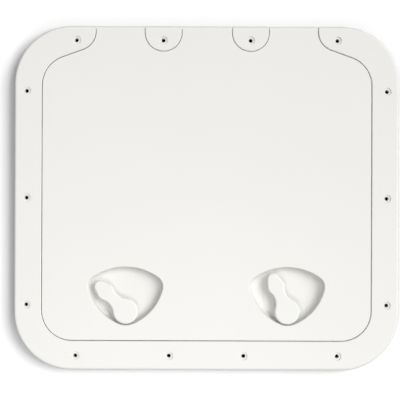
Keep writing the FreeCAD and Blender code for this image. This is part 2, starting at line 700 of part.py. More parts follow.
def make_lid():
    """The hinged lid."""
    body = new_body("lid")
    axis = amount(AXIS_BACK)
    plate = new_sketch(body, "plate", LID_UNDER)
    arc_chain(plate, lid_outline(0, axis))
    pad(body, plate, "sizes.lid_plate")
    bays = new_sketch(body, "tab_bays")
    for sign in (-1, 1):
        reach = of("tab_radius") + of("tab_gap")
        arc_chain(bays, tab_outline(sign * of("tab_pitch") / 2, reach, of("frame_width") / 2 + 10))
    cut = pocket(body, bays, both=True)
    top = of("flange_top")

    def at_outline(edge):
        return level(edge, top) and edge.BoundBox.YMin < axis - 0.01

    round_edges(body, cut, "edge_break", "sizes.lid_edge_break", at_outline, "Chamfer")
    half_bay = "sizes.tab_radius + sizes.tab_gap"
    middle = new_sketch(body, "middle_knuckle", role="YZ_Plane")
    circle(middle, AXIS_BACK, AXIS_HEIGHT, AXIS_HEIGHT)
    pad(body, middle, f"sizes.tab_pitch - 2 * ({half_bay})", both=True)
    start = f"(sizes.tab_pitch / 2 + {half_bay})"
    end = f"({CORNER_TAB_X} - sizes.corner_tab_radius - sizes.lid_gap)"
    outer = new_sketch(body, "outer_knuckle", start, role="YZ_Plane")
    circle(outer, AXIS_BACK, AXIS_HEIGHT, AXIS_HEIGHT)
    bar = pad(body, outer, f"{end} - {start}")
    mirror(body, "outer_knuckles", [bar])

    skirt = new_sketch(body, "skirt", LID_UNDER)
    inset_rectangle(skirt, "sizes.skirt_gap")
    inset_rectangle(skirt, "(sizes.skirt_gap + sizes.skirt_wall)")
    pad(body, skirt, f"{LID_UNDER} + sizes.skirt_drop", down=True)
    lips = new_sketch(body, "seal_lips", LID_UNDER)
    inset_rectangle(lips, f"({SEAL_OUTER} - sizes.seal_side_fit - sizes.lip_wall)")
    inset_rectangle(lips, f"({SEAL_OUTER} - sizes.seal_side_fit)")
    pad(body, lips, "sizes.lip_depth", down=True)
    lips = new_sketch(body, "inner_lip", LID_UNDER)
    inset_rectangle(lips, f"({SEAL_INNER} + sizes.seal_side_fit)")
    inset_rectangle(lips, f"({SEAL_INNER} + sizes.seal_side_fit + sizes.lip_wall)")
    pad(body, lips, "sizes.lip_depth", down=True)

    make_recesses(body, "Additive", of("recess_wall"), "recess_under_round")
    inside_x = f"({OPEN_X} - {SEAL_INNER} - sizes.seal_side_fit - sizes.lip_wall / 2)"
    inside_y = f"({OPEN_Y} - {SEAL_INNER} - sizes.seal_side_fit - sizes.lip_wall / 2)"
    for name, count, axis_name, half_run in (
        ("cross_rib", "sizes.cross_ribs", "V_Axis", f"({inside_y} - sizes.lid_rib_margin)"),
        ("long_rib", "sizes.long_ribs", "H_Axis", f"({inside_x} - sizes.lid_rib_margin)"),
    ):
        rib = new_sketch(body, name, LID_UNDER)
        low, high = f"-{half_run} - sizes.lid_rib / 2", f"-{half_run} + sizes.lid_rib / 2"
        if axis_name == "V_Axis":
            rectangle(rib, f"-{inside_x}", low, inside_x, high)
        else:
            rectangle(rib, low, f"-{inside_y}", high, inside_y)
        first = pad(body, rib, "sizes.lid_rib_depth", down=True)
        row = body.newObject("PartDesign::LinearPattern", f"lid_{name}_row")
        row.Originals = [first]
        row.Direction = (rib, [axis_name])
        row.setExpression("Length", f"2 * {half_run}")
        row.setExpression("Occurrences", count)
        body.Tip = row

    make_recesses(body, "Subtractive", 0.0, "recess_floor_round")
    make_bush_holes(body)
    bore = new_sketch(body, "rod_bore", role="YZ_Plane")
    circle(bore, AXIS_BACK, AXIS_HEIGHT, BORE)
    bored = pocket(body, bore, both=True)

    pivot_x, pivot_y = of("latch_pitch") / 2, amount(PIVOT_Y)

    def near_recess(edge):
        box = edge.BoundBox
        far = of("recess_top") + 1
        return abs(abs(box.Center.x) - pivot_x) < far and abs(box.Center.y - pivot_y) < far

    def at_lip(edge):
        return level(edge, top) and near_recess(edge)

    round_edges(body, bored, "recess_lip", "sizes.recess_lip_round", at_lip)
    return body


def make_recesses(body, kind, wall, rounding):
    """The outer or the inner form of the two bowls: steep walls, and a rounding to a flat floor."""
    low = amount(FLOOR_TOP) - wall
    outlines = (
        ("top", of("flange_top"), (0.0, of("recess_bottom"), of("recess_base"))),
        ("floor", low, (of("recess_slope"), of("floor_bottom"), of("floor_base"))),
    )
    pivot = FreeCAD.Matrix()
    pivot.move(V(-of("latch_pitch") / 2, amount(PIVOT_Y), 0))
    sketches = []
    for name, height, shape in outlines:
        sketch = new_sketch(body, f"{kind.lower()}_{name}", str(height))
        pieces = recess_outline(*shape, grow=wall)
        for piece in pieces:
            piece.transform(pivot)
        arc_chain(sketch, pieces)
        sketches.append(sketch)
    loft = body.newObject(f"PartDesign::{kind}Loft", f"lid_recess_{kind.lower()}")
    loft.Profile = sketches[0]
    loft.Sections = sketches[1:]
    loft.Ruled = True
    pair = mirror(body, f"recess_{kind.lower()}_pair", [loft])

    def on_floor(edge):
        return level(edge, low)

    return round_edges(body, pair, rounding, f"sizes.{rounding}", on_floor)


def make_bush_holes(body):
    """The hole for each shaft's bush in the recess floors."""
    holes = new_sketch(body, "bush_holes")
    for sign in ("", "-"):
        circle(holes, f"{sign}sizes.latch_pitch / 2", PIVOT_Y, "sizes.bush_radius")
    return pocket(body, holes, both=True)


def make_gasket():
    """The rubber seal in the lid's channel, over the upstand."""
    body = new_body("lid_gasket")
    ring = new_sketch(body, "ring", f"sizes.seal_lift - sizes.upstand_drop")
    inset_rectangle(ring, SEAL_OUTER)
    inset_rectangle(ring, SEAL_INNER)
    strip = pad(body, ring, f"{LID_UNDER} + sizes.upstand_drop - sizes.seal_lift")
    low = of("seal_lift") - of("upstand_drop")
    round_edges(body, strip, "round", "sizes.seal_round", lambda edge: level(edge, low))
    return body


# The hinge rods and their plugs

def make_rod(side, sign):
    """One rod, from near the middle of the lid to the corner tab, and the plug behind it."""
    length = f"({ROD_END} - sizes.rod_gap / 2)"
    for name, radius, start, run in (
        (f"hinge_rod_{side}", "sizes.rod_diameter / 2", "sizes.rod_gap / 2", length),
        (f"rod_plug_{side}", BORE, ROD_END, "sizes.plug_length"),
    ):
        body = new_body(name)
        section = new_sketch(body, "section", start, role="YZ_Plane")
        circle(section, "0", "0", radius)
        bar = pad(body, section, run)
        round_edges(body, bar, "chamfer", "sizes.rod_chamfer", lambda e: isinstance(e.Curve, Part.Circle), "Chamfer")
        turn = FreeCAD.Rotation(UP, 0 if sign > 0 else 180)
        body.Placement = FreeCAD.Placement(V(0, amount(AXIS_BACK), amount(AXIS_HEIGHT)), turn)
        body.setExpression("Placement.Base.y", AXIS_BACK)
        body.setExpression("Placement.Base.z", AXIS_HEIGHT)


# The latches: handle with its shaft, bearing, seal, washers, cam and screw

def make_handle(name, x, turn):
    """The paddle handle with its stem and shaft in one piece."""
    body = new_body(name)
    paddle = new_sketch(body, "paddle", "sizes.flange_top - sizes.handle_thickness")
    arc_chain(paddle, handle_outline())
    pad(body, paddle, "sizes.handle_thickness")
    shaft = of("shaft_radius")
    ring_low, ring_high, groove = ring_seat()
    stem = new_sketch(body, "stem", role="XZ_Plane")
    polygon(stem, [
        (0, of("flange_top") - of("handle_thickness") / 2),
        (of("stem_radius"), of("flange_top") - of("handle_thickness") / 2),
        (of("stem_radius"), amount(STEM_BOTTOM)),
        (shaft, amount(STEM_BOTTOM)),
        (shaft, ring_high),
        (groove, ring_high),
        (groove, ring_low),
        (shaft, ring_low),
        (shaft, amount(CAM_TOP)),
        (0, amount(CAM_TOP)),
    ])
    revolve(body, stem)
    square = new_sketch(body, "square", CAM_TOP)
    corner = of("shaft_square") / math.sqrt(2)
    polygon(square, [on_circle((0, 0), corner, of("lock_side") + 45 + 90 * quarter) for quarter in range(4)])
    pad(body, square, "sizes.cam_height - sizes.stem_lift", down=True)
    tapped = new_sketch(body, "tapped", CAM_BOTTOM)
    circle(tapped, "0", "0", "sizes.cam_screw_shank + sizes.cam_screw_fit")
    bored = pocket(body, tapped, "sizes.cam_screw_length", up=True)
    top, under = of("flange_top"), of("flange_top") - of("handle_thickness")
    upper = round_edges(body, bored, "top_round", "sizes.handle_round", lambda e: level(e, top))

    def under_rim(edge):
        is_stem = isinstance(edge.Curve, Part.Circle) and abs(edge.Curve.Radius - of("stem_radius")) < 0.01
        return level(edge, under) and not is_stem

    round_edges(body, upper, "under_break", "sizes.handle_under_break", under_rim, "Chamfer")
    place(body, x, PIVOT_Y, turn)
    return body


def ring_seat():
    """The bottom, top and depth radius of the groove for the shaft's seal ring."""
    middle = amount(FLOOR_TOP) - of("recess_wall") / 2
    half = of("ring_section") / 2 + of("ring_fit")
    bottom = of("shaft_radius") + of("shaft_fit") - of("ring_fit") - of("ring_section") - of("ring_fit")
    return middle - half, middle + half, bottom


def turned(name, profile, x):
    """A round piece about a latch's pivot, from its half section."""
    body = new_body(name)
    half_section = new_sketch(body, "half_section", role="XZ_Plane")
    polygon(half_section, profile)
    revolve(body, half_section)
    place(body, x, PIVOT_Y)
    return body


def make_shaft_fittings(side, x):
    """The bush in the recess floor, the ring in the shaft's groove and the washer over the cam."""
    bore = of("shaft_radius") + of("shaft_fit")
    floor, under, cam_top = amount(FLOOR_TOP), amount(FLOOR_UNDER), amount(CAM_TOP)
    flange = floor + of("bush_flange_height")
    turned(f"shaft_bush_{side}", [
        (bore, under), (of("bush_radius"), under), (of("bush_radius"), floor),
        (of("bush_flange"), floor), (of("bush_flange"), flange), (bore, flange),
    ], x)
    low, high, _ = ring_seat()
    section = of("ring_section") / 2
    middle = bore - of("ring_fit") - section, (low + high) / 2
    turned(f"shaft_seal_{side}", [on_circle(middle, section, 30 * step) for step in range(12)], x)
    turned(f"friction_washer_{side}", [
        (bore, cam_top), (of("friction_radius"), cam_top), (of("friction_radius"), under), (bore, under),
    ], x)


def make_cam(side, x, turn):
    """The cam with its tongue along +X, a boss below, a square hole and ramped upper edges."""
    body = new_body(f"cam_{side}")
    plate = new_sketch(body, "plate", CAM_TOP)
    hub, tip, reach = of("cam_hub"), of("cam_tip"), of("cam_reach")
    taper = math.degrees(math.acos((hub - tip) / reach))
    wide, narrow = on_circle((0, 0), hub, taper), on_circle((reach, 0), tip, taper)
    arc_chain(plate, [
        arc((0, 0), hub, taper, 360 - taper),
        line((wide[0], -wide[1]), (narrow[0], -narrow[1])),
        arc((reach, 0), tip, -taper, taper),
        line(narrow, wide),
    ])
    pad(body, plate, "sizes.cam_thickness", down=True)
    boss = new_sketch(body, "boss", CAM_BOTTOM)
    circle(boss, "0", "0", "sizes.cam_boss")
    pad(body, boss, "sizes.cam_height - sizes.cam_thickness / 2")
    hole = new_sketch(body, "hole")
    half = "(sizes.shaft_square / 2 + sizes.cam_square_fit)"
    rectangle(hole, f"-{half}", f"-{half}", half, half)
    cut = pocket(body, hole, both=True)
    top = amount(CAM_TOP)

    def on_outline(edge):
        point = edge.valueAt((edge.FirstParameter + edge.LastParameter) / 2)
        return level(edge, top) and math.hypot(point.x, point.y) > of("shaft_square")

    round_edges(body, cut, "ramp", "sizes.cam_ramp", on_outline, "Chamfer")
    place(body, x, PIVOT_Y, turn)
    return body


def make_cam_fixing(side, x):
    """The washer and the pan head screw under the cam."""
    seat = amount(CAM_BOTTOM)
    low = seat - of("cam_washer_height")
    bore = of("cam_screw_shank") + of("cam_screw_fit")
    turned(f"cam_washer_{side}", [
        (bore, low), (of("cam_washer_radius"), low), (of("cam_washer_radius"), seat), (bore, seat),
    ], x)
    head, shank, edge = of("cam_screw_head"), of("cam_screw_shank"), of("cam_screw_edge")
    crown, point = low - of("cam_screw_head_height"), of("cam_screw_point")
    end = seat + of("cam_screw_length") - of("cam_screw_end")
    screw = turned(f"cam_screw_{side}", [
        (0, crown), (head - edge, crown), (head, crown + edge), (head, low), (shank, low),
        (shank, end - point), (shank - point, end), (0, end),
    ], x)
    cross = new_sketch(screw, "cross", str(crown))
    half, arm = of("cross_slot") / 2, of("cross_reach")
    quarter = [(half, half), (half, arm), (-half, arm)]
    outline = []
    for _ in range(4):
        outline += quarter
        quarter = [(-y, x) for x, y in quarter]
    polygon(cross, outline)
    pocket(screw, cross, "sizes.cam_screw_head_height / 2", up=True)


make_frame()
make_lid()
make_gasket()
for side, sign in (("left", -1), ("right", 1)):
    make_rod(side, sign)
    pivot_x = f"{'-' if sign < 0 else ''}sizes.latch_pitch / 2"
    turn = f"sizes.{side}_turn"
    make_handle(f"handle_{side}", pivot_x, turn)
    make_shaft_fittings(side, pivot_x)
    make_cam(side, pivot_x, f"{turn} + sizes.lock_side - 90")
    make_cam_fixing(side, pivot_x)
doc.recompute()

# Every object and every finished piece is checked before anything is written
for item in doc.Objects:
    if "Invalid" in item.State or "Error" in item.State:
        raise RuntimeError(f"{item.Name} did not compute: {item.State}")
bodies = [item for item in doc.Objects if item.TypeId == "PartDesign::Body"]
for body in bodies:
    if body.Shape.isNull() or not body.Shape.isValid() or len(body.Shape.Solids) != 1:
        raise RuntimeError(f"{body.Label} is not one valid solid")
for body in bodies:
    body.Shape.exportStep(os.path.join("parts", f"{body.Label}.step"))
    print(body.Label, round(body.Shape.Volume, 2))
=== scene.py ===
import logging
import math
from dataclasses import dataclass, field
from enum import Enum

import bmesh
import bpy
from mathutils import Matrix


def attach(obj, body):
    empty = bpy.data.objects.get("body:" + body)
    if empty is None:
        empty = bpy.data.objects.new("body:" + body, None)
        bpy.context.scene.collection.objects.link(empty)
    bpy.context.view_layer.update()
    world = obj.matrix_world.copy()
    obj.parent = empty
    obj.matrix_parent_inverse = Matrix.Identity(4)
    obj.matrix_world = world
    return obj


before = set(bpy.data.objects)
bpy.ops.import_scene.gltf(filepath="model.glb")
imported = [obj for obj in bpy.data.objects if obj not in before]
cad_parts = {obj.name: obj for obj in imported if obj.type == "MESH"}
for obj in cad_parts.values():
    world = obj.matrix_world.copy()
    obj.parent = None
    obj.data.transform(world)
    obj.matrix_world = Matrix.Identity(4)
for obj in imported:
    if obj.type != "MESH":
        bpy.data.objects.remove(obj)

# The finishes, mould marks and studio of a flush inspection hatch, which is a deck frame, a hinged lid and
# two paddle latches. Sizes are in metres. The deck plane is at height 0 and the hinge edge lies towards +Y.

Node = bpy.types.Node
Socket = bpy.types.NodeSocket
Tree = bpy.types.NodeTree
Material = bpy.types.Material
Light = bpy.types.Light
Piece = bpy.types.Object
Build = bmesh.types.BMesh
Corner = bmesh.types.BMVert
Pair = tuple[float, float]
Triple = tuple[float, float, float]

LOG = logging.getLogger("hatch")
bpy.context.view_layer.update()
PICTURE_PIXELS = 400
WHITE = (1.0, 1.0, 1.0, 1.0)

# These nodes give the sockets for each kind of value the same names, so they are picked by number.
MIX_COLOURS = (6, 7)
MIX_RESULT = 2
RANDOM_ENDS = (2, 3)
RANDOM_RESULT = 1


class Side(Enum):
    """The two sides of the hatch, seen from above with the hinge at the top."""

    LEFT = "left"
    RIGHT = "right"

    def node(self, piece: str) -> str:
        """The name of a piece's node on this side."""
        return f"{piece}_{self.value}"


@dataclass
class NodeMaker:
    """Puts nodes into one tree and joins them.

    Attributes:
        tree: the node tree that is filled.
        column: how far right the next node stands, for a readable layout.
    """

    tree: Tree
    column: int = 0

    def add(self, kind: str, **settings: object) -> Node:
        """Add a node and set its properties.

        Args:
            kind: the node's type name.
            settings: its properties.

        Returns:
            The node.
        """
        node = self.tree.nodes.new(kind)
        node.location = (self.column * 190, -(self.column % 4) * 160)
        self.column += 1
        for name, value in settings.items():
            setattr(node, name, value)
        return node

    def join(self, source: Socket, target: Socket) -> None:
        """Link an output to an input."""
        self.tree.links.new(source, target)

    def put(self, value: object, target: Socket) -> None:
        """Link a socket to an input, or set a plain value there.

        Args:
            value: the socket or the value.
            target: the input.
        """
        if isinstance(value, Socket):
            self.join(value, target)
        else:
            target.default_value = value

    def feed(self, node: Node, **values: object) -> Node:
        """Set or link a node's inputs by name, with _ for a space.

        Args:
            node: the node whose inputs are set.
            values: a socket to link from, or a plain value.

        Returns:
            The same node.
        """
        for name, value in values.items():
            self.put(value, node.inputs[name.replace("_", " ")])
        return node

    def math(self, operation: str, first: object, second: object = 0.0, third: object = 0.0) -> Socket:
        """Work out a value from up to three.

        Args:
            operation: the Math node's operation.
            first: the first value or socket.
            second: the second.
            third: the third.

        Returns:
            The result's socket.
        """
        node = self.add("ShaderNodeMath", operation=operation)
        for socket, value in zip(node.inputs, (first, second, third)):
            self.put(value, socket)
        return node.outputs[0]

    def spread(
        self, value: Socket, low: float = 0.0, high: float = 1.0, to_low: float = 0.0, to_high: float = 1.0
    ) -> Socket:
        """Map a value from one range to another, held at its ends.

        Args:
            value: the socket to map.
            low: where the first range starts.
            high: where it ends.
            to_low: where the new range starts.
            to_high: where it ends.

        Returns:
            The mapped socket.
        """
        node = self.add("ShaderNodeMapRange")
        self.feed(node, From_Min=low, From_Max=high, To_Min=to_low, To_Max=to_high)
        self.join(value, node.inputs["Value"])
        return node.outputs["Result"]

    def noise(self, vector: Socket, scale: object, detail: float = 2.0, rough: float = 0.5) -> Socket:
        """A noise texture's value.

        Args:
            vector: its coordinates.
            scale: how fine it is.
            detail: how many layers it has.
            rough: how strong its finer layers are.

        Returns:
            The value's socket.
        """
        node = self.add("ShaderNodeTexNoise")
        self.feed(node, Scale=scale, Detail=detail, Roughness=rough)
        self.join(vector, node.inputs["Vector"])
        return node.outputs["Fac"]

    def split(self, vector: Socket) -> list[Socket]:
        """The three parts of a vector.

        Args:
            vector: the vector's socket.

        Returns:
            The sockets of its X, Y and Z.
        """
        node = self.add("ShaderNodeSeparateXYZ")
        self.join(vector, node.inputs[0])
        return list(node.outputs)

    def seen(self) -> Socket:
        """Tell what is seen directly, in gloss or through glass from what only lights the hatch.

        Returns:
            A mask that is 1 where it is seen.
        """
        path = self.add("ShaderNodeLightPath")
        direct = self.math("MAXIMUM", path.outputs["Is Camera Ray"], path.outputs["Is Glossy Ray"])
        return self.math("MAXIMUM", direct, path.outputs["Is Transmission Ray"])


class SharedEffects:
    """The shader groups that several finishes use, each built once."""

    def __init__(self) -> None:
        """Build the groups."""
        self.mould_skin = self._mould_skin()
        self.handling = self._handling()
        self.drawn_lines = self._drawn_lines()

    @staticmethod
    def _group(
        name: str, inputs: dict[str, float], outputs: tuple[str, ...]
    ) -> tuple[Tree, NodeMaker, Node, Node]:
        """Start a shader group with a Vector input.

        Args:
            name: the group's name.
            inputs: each value input and its default.
            outputs: the value outputs.

        Returns:
            The group, a maker for it, and its input and output nodes.
        """
        tree = bpy.data.node_groups.new(name, "ShaderNodeTree")
        tree.interface.new_socket("Vector", in_out="INPUT", socket_type="NodeSocketVector")
        for label, value in inputs.items():
            socket = tree.interface.new_socket(label, in_out="INPUT", socket_type="NodeSocketFloat")
            socket.default_value = value
        for label in outputs:
            tree.interface.new_socket(label, in_out="OUTPUT", socket_type="NodeSocketFloat")
        make = NodeMaker(tree)
        source = make.add("NodeGroupInput")
        sink = make.add("NodeGroupOutput")
        return tree, make, source, sink

    def _mould_skin(self) -> Tree:
        """The skin of an injection moulding: fine spark grain, slow flow waves and faint cloudiness.

        Returns:
            The group, with outputs for the height, the cloudiness and the gloss.
        """
        inputs = {"Grain Scale": 2600.0, "Grain Depth": 0.5, "Peel Depth": 0.6, "Wave Depth": 6.0}
        tree, make, source, sink = self._group("mould_skin", inputs, ("Height", "Cloud", "Gloss"))
        vector = source.outputs["Vector"]
        grain = make.noise(vector, source.outputs["Grain Scale"], detail=3.0, rough=0.6)
        peel = make.noise(vector, scale=240.0, detail=2.0, rough=0.45)
        wave = make.noise(vector, scale=9.0, detail=1.0, rough=0.4)
        fine = make.math("MULTIPLY", grain, source.outputs["Grain Depth"])
        both = make.math("MULTIPLY_ADD", wave, source.outputs["Wave Depth"], fine)
        height = make.math("MULTIPLY_ADD", peel, source.outputs["Peel Depth"], both)
        make.join(height, sink.inputs["Height"])
        cloud = make.noise(vector, scale=5.5, detail=4.0, rough=0.6)
        make.join(make.spread(cloud, low=0.3, high=0.7), sink.inputs["Cloud"])
        patches = make.noise(vector, scale=31.0, detail=3.0, rough=0.55)
        mixed = make.math("MULTIPLY_ADD", grain, 0.35, make.math("MULTIPLY", patches, 0.65))
        make.join(make.spread(mixed, low=0.32, high=0.68), sink.inputs["Gloss"])
        return tree

    def _handling(self) -> Tree:
        """Faint marks of use: short hair scratches both ways and dust lying in specks.

        Returns:
            The group, with a mask for the scratches and one for the dust.
        """
        inputs = {"Scratch Amount": 0.5, "Dust Amount": 0.5}
        tree, make, source, sink = self._group("handling", inputs, ("Scratch", "Dust"))
        vector = source.outputs["Vector"]
        lines = []
        for turn, stretch in ((0.5, (700.0, 9.0, 40.0)), (2.1, (9.0, 620.0, 40.0))):
            mapping = make.add("ShaderNodeMapping")
            make.feed(mapping, Vector=vector, Rotation=(0.0, 0.0, turn), Scale=stretch)
            texture = make.noise(mapping.outputs[0], scale=1.0, detail=1.0, rough=0.3)
            lines.append(make.spread(texture, low=0.69, high=0.74))
        both = make.math("MAXIMUM", *lines)
        sparse = make.spread(make.noise(vector, scale=14.0), low=0.5, high=0.62)
        scratch = make.math("MULTIPLY", both, sparse)
        make.join(make.math("MULTIPLY", scratch, source.outputs["Scratch Amount"]), sink.inputs["Scratch"])
        specks = make.add("ShaderNodeTexVoronoi")
        make.feed(specks, Vector=vector, Scale=420.0, Randomness=1.0)
        near = make.spread(specks.outputs["Distance"], low=0.02, high=0.11, to_low=1.0, to_high=0.0)
        drift = make.spread(make.noise(vector, scale=20.0, detail=3.0, rough=0.6), low=0.45, high=0.7)
        dust = make.math("MULTIPLY", near, drift)
        make.join(make.math("MULTIPLY", dust, source.outputs["Dust Amount"]), sink.inputs["Dust"])
        return tree

    def _drawn_lines(self) -> Tree:
        """The fine lines along drawn or turned steel.

        Returns:
            The group, with a mask for the lines.
        """
        inputs = {"Along": 12.0, "Across": 5200.0}
        tree, make, source, sink = self._group("drawn_lines", inputs, ("Lines",))
        merge = make.add("ShaderNodeCombineXYZ")
        parts = make.split(source.outputs["Vector"])
        for part, label, socket in zip(parts, ("Along", "Across", "Across"), merge.inputs):
            make.join(make.math("MULTIPLY", part, source.outputs[label]), socket)
        make.join(make.noise(merge.outputs[0], scale=1.0), sink.inputs["Lines"])
        return tree


@dataclass(frozen=True)
class Finish:
    """What every finish of the hatch has.

    Attributes:
        name: the material's name.
        colour: its main colour, linear.
        roughness: its middle roughness.
    """

    name: str
    colour: Triple
    roughness: float

    def start(self) -> tuple[Material, NodeMaker, Node, Socket]:
        """Start a material.

        Returns:
            The material, its maker, its surface shader and its object coordinates.
        """
        material = bpy.data.materials.new(self.name)
        material.use_nodes = True
        make = NodeMaker(material.node_tree)
        shader = material.node_tree.nodes["Principled BSDF"]
        coordinates = make.add("ShaderNodeTexCoord")
        return material, make, shader, coordinates.outputs["Object"]

    def shade(self, share: float) -> Triple:
        """The main colour scaled by a share."""
        return tuple(channel * share for channel in self.colour)

    def group(self, make: NodeMaker, tree: Tree, vector: Socket, **values: float) -> Node:
        """Place a shared effect with this finish's own values."""
        node = make.add("ShaderNodeGroup", node_tree=tree)
        return make.feed(node, Vector=vector, **values)

    def tint(self, make: NodeMaker, amount: Socket, first: object, second: object) -> Socket:
        """Mix two colours by a mask.

        Args:
            make: the material's maker.
            amount: the mask.
            first: the colour or its socket where the mask is 0.
            second: the colour or its socket where it is 1.

        Returns:
            The colour's socket.
        """
        mix = make.add("ShaderNodeMix", data_type="RGBA")
        make.join(amount, mix.inputs["Factor"])
        for number, colour in zip(MIX_COLOURS, (first, second)):
            make.put(colour if isinstance(colour, Socket) else (*colour, 1.0), mix.inputs[number])
        return mix.outputs[MIX_RESULT]

    def bump(self, make: NodeMaker, shader: Node, height: Socket, strength: float, distance: float) -> None:
        """Raise the surface by a height.

        Args:
            make: the material's maker.
            shader: its surface shader.
            height: the height's socket.
            strength: how much of it shows.
            distance: the height in metres that a value of 1 stands for.
        """
        node = make.add("ShaderNodeBump")
        make.feed(node, Strength=strength, Distance=distance, Height=height)
        make.join(node.outputs[0], shader.inputs["Normal"])


@dataclass(frozen=True)
class MouldedPlastic(Finish):
    """Injection moulded plastic.

    Attributes:
        grain: how fine the mould's grain is.
        depth: how deep it is.
        relief: how much of it shows.
        cloud: how far the colour drifts.
        patches: the least and most roughness over the skin, as shares of the middle one.
        wear: how much scratching and dust it has.
        dust_tone: the colour under dust, as a share of the main one.
        scratch_rough: how much rougher a scratch is.
        painted_shade: how much darker its colour is painted below a height, a painted shade on its lower
            edges and in its hollows.
        painted_shade_from: the height under which the painted shade begins.
        painted_shade_to: the height at which the painted shade is darkest.
    """

    grain: float = 2600.0
    depth: float = 0.00002
    relief: float = 0.35
    cloud: float = 0.02
    patches: Pair = (0.9, 1.12)
    wear: float = 0.4
    dust_tone: float = 0.93
    scratch_rough: float = 0.12
    painted_shade: float = 0.0
    painted_shade_from: float = 0.007
    painted_shade_to: float = -0.002

    def build(self, effects: SharedEffects) -> Material:
        """Make the material.

        Args:
            effects: the shared shader groups.

        Returns:
            The finished material.
        """
        material, make, shader, vector = self.start()
        skin = self.group(make, effects.mould_skin, vector, Grain_Scale=self.grain)
        marks = self.group(make, effects.handling, vector, Scratch_Amount=self.wear, Dust_Amount=self.wear)
        base = self.tint(make, skin.outputs["Cloud"], self.shade(1.0 - self.cloud), self.colour)
        base = self.tint(make, marks.outputs["Dust"], base, self.shade(self.dust_tone))
        # Painted shade: below a height the colour is darkened, standing in for shade on lower edges and in
        # hollows.
        if self.painted_shade > 0.0:
            height = make.split(vector)[2]
            low = make.spread(height, self.painted_shade_to, self.painted_shade_from, to_low=1.0, to_high=0.0)
            base = self.tint(make, low, base, self.shade(1.0 - self.painted_shade))
        make.join(base, shader.inputs["Base Color"])
        least, most = (self.roughness * share for share in self.patches)
        rough = make.spread(skin.outputs["Gloss"], to_low=least, to_high=most)
        worn = make.math("MULTIPLY_ADD", marks.outputs["Scratch"], self.scratch_rough, rough)
        make.join(worn, shader.inputs["Roughness"])
        self.bump(make, shader, skin.outputs["Height"], self.relief, self.depth)
        return material


@dataclass(frozen=True)
class SealRubber(Finish):
    """Soft closed-cell rubber with fine open pores at its skin.

    Attributes:
        pore_scale: how fine the pores are.
        pore_depth: how deep they are.
        relief: how much of them shows.
        bloom_share: how much of the pale bloom shows.
        dust_share: how much of the dust shows.
        paler: how much paler the colour is under both.
        drift: how far the roughness falls and rises over the skin.
    """

    pore_scale: float = 1500.0
    pore_depth: float = 0.0001
    relief: float = 0.5
    bloom_share: float = 0.35
    dust_share: float = 0.6
    paler: float = 0.07
    drift: Pair = (-0.08, 0.1)

    def build(self, effects: SharedEffects) -> Material:
        """Make the material.

        Args:
            effects: the shared shader groups.

        Returns:
            The finished material.
        """
        material, make, shader, vector = self.start()
        marks = self.group(make, effects.handling, vector, Scratch_Amount=0.2, Dust_Amount=0.9)
        pores = make.add("ShaderNodeTexVoronoi")
        make.feed(pores, Vector=vector, Scale=self.pore_scale)
        pits = make.spread(pores.outputs["Distance"], low=0.05, high=0.4)
        bloom = make.noise(vector, scale=45.0, detail=3.0, rough=0.6)
        faint = make.math("MULTIPLY", bloom, self.bloom_share)
        mask = make.math("MULTIPLY_ADD", marks.outputs["Dust"], self.dust_share, faint)
        pale = tuple(channel + self.paler for channel in self.colour)
        make.join(self.tint(make, mask, self.colour, pale), shader.inputs["Base Color"])
        least, most = (self.roughness + step for step in self.drift)
        rough = make.spread(bloom, 0.3, 0.7, to_low=least, to_high=most)
        make.join(rough, shader.inputs["Roughness"])
        self.bump(make, shader, pits, self.relief, self.pore_depth)
        return material


@dataclass(frozen=True)
class StainlessSteel(Finish):
    """Drawn or turned stainless steel with lines along X.

    Attributes:
        across: how close the lines lie.
        depth: how deep they are.
        relief: how much of them shows.
        line_tone: the colour in a line, as a share of the main one.
        patches: the least and most roughness, as shares of the middle one.
        scratch_rough: how much rougher a scratch is.
    """

    across: float = 5200.0
    depth: float = 0.00003
    relief: float = 0.25
    line_tone: float = 0.82
    patches: Pair = (0.8, 1.25)
    scratch_rough: float = 0.15

    def build(self, effects: SharedEffects) -> Material:
        """Make the material.

        Args:
            effects: the shared shader groups.

        Returns:
            The finished material.
        """
        material, make, shader, vector = self.start()
        lines = self.group(make, effects.drawn_lines, vector, Across=self.across).outputs["Lines"]
        marks = self.group(make, effects.handling, vector, Scratch_Amount=0.8, Dust_Amount=0.3)
        base = self.tint(make, lines, self.shade(self.line_tone), self.colour)
        make.join(base, shader.inputs["Base Color"])
        least, most = (self.roughness * share for share in self.patches)
        rough = make.spread(lines, 0.3, 0.7, to_low=least, to_high=most)
        worn = make.math("MULTIPLY_ADD", marks.outputs["Scratch"], self.scratch_rough, rough)
        make.join(worn, shader.inputs["Roughness"])
        shader.inputs["Metallic"].default_value = 1.0
        self.bump(make, shader, lines, self.relief, self.depth)
        return material


OFF_WHITE = (0.816, 0.807, 0.778)
# The frame's colour is darkened from 9 mm down to 7.8 mm and below, a painted shade on its rounded outer
# rim and lower parts.
FRAME_PLASTIC = MouldedPlastic(
    "frame_plastic",
    OFF_WHITE,
    0.36,
    grain=2400.0,
    cloud=0.016,
    painted_shade=0.08,
    painted_shade_from=0.0090,
    painted_shade_to=0.0078,
)
